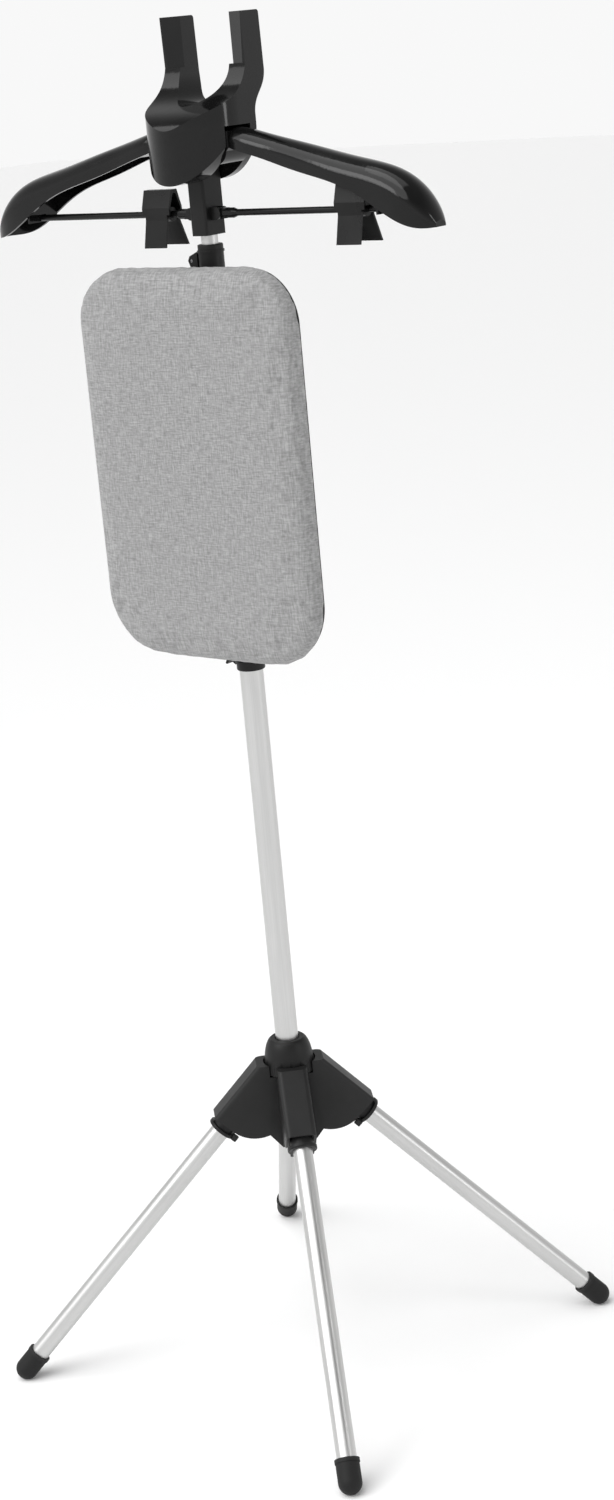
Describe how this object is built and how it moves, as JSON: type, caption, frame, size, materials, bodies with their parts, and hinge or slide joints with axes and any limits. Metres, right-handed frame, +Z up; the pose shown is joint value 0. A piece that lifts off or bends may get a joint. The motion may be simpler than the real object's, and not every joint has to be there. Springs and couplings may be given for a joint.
{
  "type": "garment steamer stand",
  "caption": "Folding stand for a handheld garment steamer: splayed leg base, telescoping pole, padded pressing board, hanger arms with trouser clips and a forked cradle.",
  "frame": {"origin": "on the floor, on the pole's axis, midway between the feet", "axes": "+X towards the hanger's right arm, -Y to the front where the pressing board is, +Z up the pole"},
  "size_m": [0.44, 0.3698, 1.103],
  "materials": {
    "foot_rubber": "matt moulded rubber",
    "satin_aluminium": "satin drawn tube",
    "heather_fabric": "grey heather plain weave",
    "gloss_black": "polished moulded black",
    "fastener_steel": "zinc-plated",
    "rod_black": "satin black lacquer",
    "matt_black": "fine-textured moulded black"
  },
  "bodies": {
    "base": {"hub_housing": "matt_black", "leg_pivot_pins": "matt_black", "hub_collet": "matt_black", "hub_bottom_plug": "matt_black", "lower_tube": "satin_aluminium", "lower_collar": "matt_black", "lower_collar_bush": "matt_black", "lower_lever_pin": "fastener_steel"},
    "lock_nut": {"hub_lock_nut": "matt_black"},
    "lower_lever": {"lower_lever": "matt_black"},
    "middle": {"middle_tube": "satin_aluminium", "middle_tube_guide": "matt_black", "upper_collar": "matt_black", "upper_collar_bush": "matt_black", "upper_lever_pin": "fastener_steel", "board_bracket_upper": "matt_black", "board_bracket_lower": "matt_black", "board_screws": "fastener_steel", "board_back_plate": "matt_black", "board_pad": "heather_fabric"},
    "upper_lever": {"upper_lever": "matt_black"},
    "hanger": {"upper_tube": "satin_aluminium", "upper_tube_guide": "matt_black", "hanger_post": "gloss_black", "rod_pivot_pins": "matt_black", "head_cradle": "gloss_black", "head_front_shell": "gloss_black", "arm_pivot_screws": "fastener_steel", "post_screw": "fastener_steel"},
    "leg_front_right": {"leg_sleeve_front_right": "matt_black", "leg_tube_front_right": "satin_aluminium", "foot_cap_front_right": "foot_rubber"},
    "leg_back_right": {"leg_sleeve_back_right": "matt_black", "leg_tube_back_right": "satin_aluminium", "foot_cap_back_right": "foot_rubber"},
    "leg_back_left": {"leg_sleeve_back_left": "matt_black", "leg_tube_back_left": "satin_aluminium", "foot_cap_back_left": "foot_rubber"},
    "leg_front_left": {"leg_sleeve_front_left": "matt_black", "leg_tube_front_left": "satin_aluminium", "foot_cap_front_left": "foot_rubber"},
    "left_arm": {"left_arm": "gloss_black"},
    "left_rod": {"left_rod": "rod_black"},
    "clip_left": {"clip_left_barrel": "matt_black"},
    "clip_left_front": {"clip_left_front": "matt_black", "clip_left_spring": "fastener_steel"},
    "clip_left_back": {"clip_left_back": "matt_black"},
    "right_arm": {"right_arm": "gloss_black"},
    "right_rod": {"right_rod": "rod_black"},
    "clip_right": {"clip_right_barrel": "matt_black"},
    "clip_right_front": {"clip_right_front": "matt_black", "clip_right_spring": "fastener_steel"},
    "clip_right_back": {"clip_right_back": "matt_black"}
  },
  "joints": [
    {"name": "lock_nut_twist", "type": "hinge", "parent": "base", "child": "lock_nut", "pos_m": [0, 0, 0.27125], "axis": [0, 0, 1], "range_deg": [0, 150]},
    {"name": "lower_lever_flip", "type": "hinge", "parent": "base", "child": "lower_lever", "pos_m": [-0.016, 0, 0.614], "axis": [0, 1, 0], "range_deg": [0, 100]},
    {"name": "middle_slide", "type": "slide", "parent": "base", "child": "middle", "axis": [0, 0, 1], "range_m": [-0.135, 0.02]},
    {"name": "upper_lever_flip", "type": "hinge", "parent": "middle", "child": "upper_lever", "pos_m": [-0.0145, 0, 0.922], "axis": [0, 1, 0], "range_deg": [0, 100]},
    {"name": "upper_slide", "type": "slide", "parent": "middle", "child": "hanger", "axis": [0, 0, 1], "range_m": [-0.005, 0.3]},
    {"name": "leg_fold_front_right", "type": "hinge", "parent": "base", "child": "leg_front_right", "pos_m": [0.02429, -0.02429, 0.23492], "axis": [0.7071, 0.7071, 0], "range_deg": [0, 43.4]},
    {"name": "leg_fold_back_right", "type": "hinge", "parent": "base", "child": "leg_back_right", "pos_m": [0.02429, 0.02429, 0.23492], "axis": [-0.7071, 0.7071, 0], "range_deg": [0, 43.4]},
    {"name": "leg_fold_back_left", "type": "hinge", "parent": "base", "child": "leg_back_left", "pos_m": [-0.02429, 0.02429, 0.23492], "axis": [-0.7071, -0.7071, 0], "range_deg": [0, 43.4]},
    {"name": "leg_fold_front_left", "type": "hinge", "parent": "base", "child": "leg_front_left", "pos_m": [-0.02429, -0.02429, 0.23492], "axis": [0.7071, -0.7071, 0], "range_deg": [0, 43.4]},
    {"name": "left_arm_drop", "type": "hinge", "parent": "hanger", "child": "left_arm", "pos_m": [-0.026, 0, 1.0045], "axis": [0, -1, 0], "range_deg": [0, 16]},
    {"name": "left_rod_drop", "type": "hinge", "parent": "hanger", "child": "left_rod", "pos_m": [-0.0125, 0, 0.957], "axis": [0, -1, 0], "range_deg": [0, 18]},
    {"name": "clip_left_slide", "type": "slide", "parent": "left_rod", "child": "clip_left", "axis": [1, 0, 0], "range_m": [-0.1, 0]},
    {"name": "clip_left_turn", "type": "hinge", "parent": "clip_left", "child": "clip_left_front", "pos_m": [-0.046, 0, 0.957], "axis": [1, 0, 0], "range_deg": [-30, 30]},
    {"name": "clip_left_open", "type": "hinge", "parent": "clip_left_front", "child": "clip_left_back", "pos_m": [-0.046, 0, 0.957], "axis": [-1, 0, 0], "range_deg": [0, 20], "stiffness_Nm_per_rad": 0.05, "springref_deg": -20.05},
    {"name": "right_arm_drop", "type": "hinge", "parent": "hanger", "child": "right_arm", "pos_m": [0.026, 0, 1.0045], "axis": [0, 1, 0], "range_deg": [0, 16]},
    {"name": "right_rod_drop", "type": "hinge", "parent": "hanger", "child": "right_rod", "pos_m": [0.0125, 0, 0.957], "axis": [0, 1, 0], "range_deg": [0, 18]},
    {"name": "clip_right_slide", "type": "slide", "parent": "right_rod", "child": "clip_right", "axis": [-1, 0, 0], "range_m": [-0.004, 0.098]},
    {"name": "clip_right_turn", "type": "hinge", "parent": "clip_right", "child": "clip_right_front", "pos_m": [0.144, 0, 0.957], "axis": [1, 0, 0], "range_deg": [-30, 30]},
    {"name": "clip_right_open", "type": "hinge", "parent": "clip_right_front", "child": "clip_right_back", "pos_m": [0.144, 0, 0.957], "axis": [-1, 0, 0], "range_deg": [0, 20], "stiffness_Nm_per_rad": 0.05, "springref_deg": -20.05}
  ],
  "couplings": [
    {"joint": "left_rod_drop", "follows": "left_arm_drop", "ratio": 1.08},
    {"joint": "right_rod_drop", "follows": "right_arm_drop", "ratio": 1.08}
  ]
}
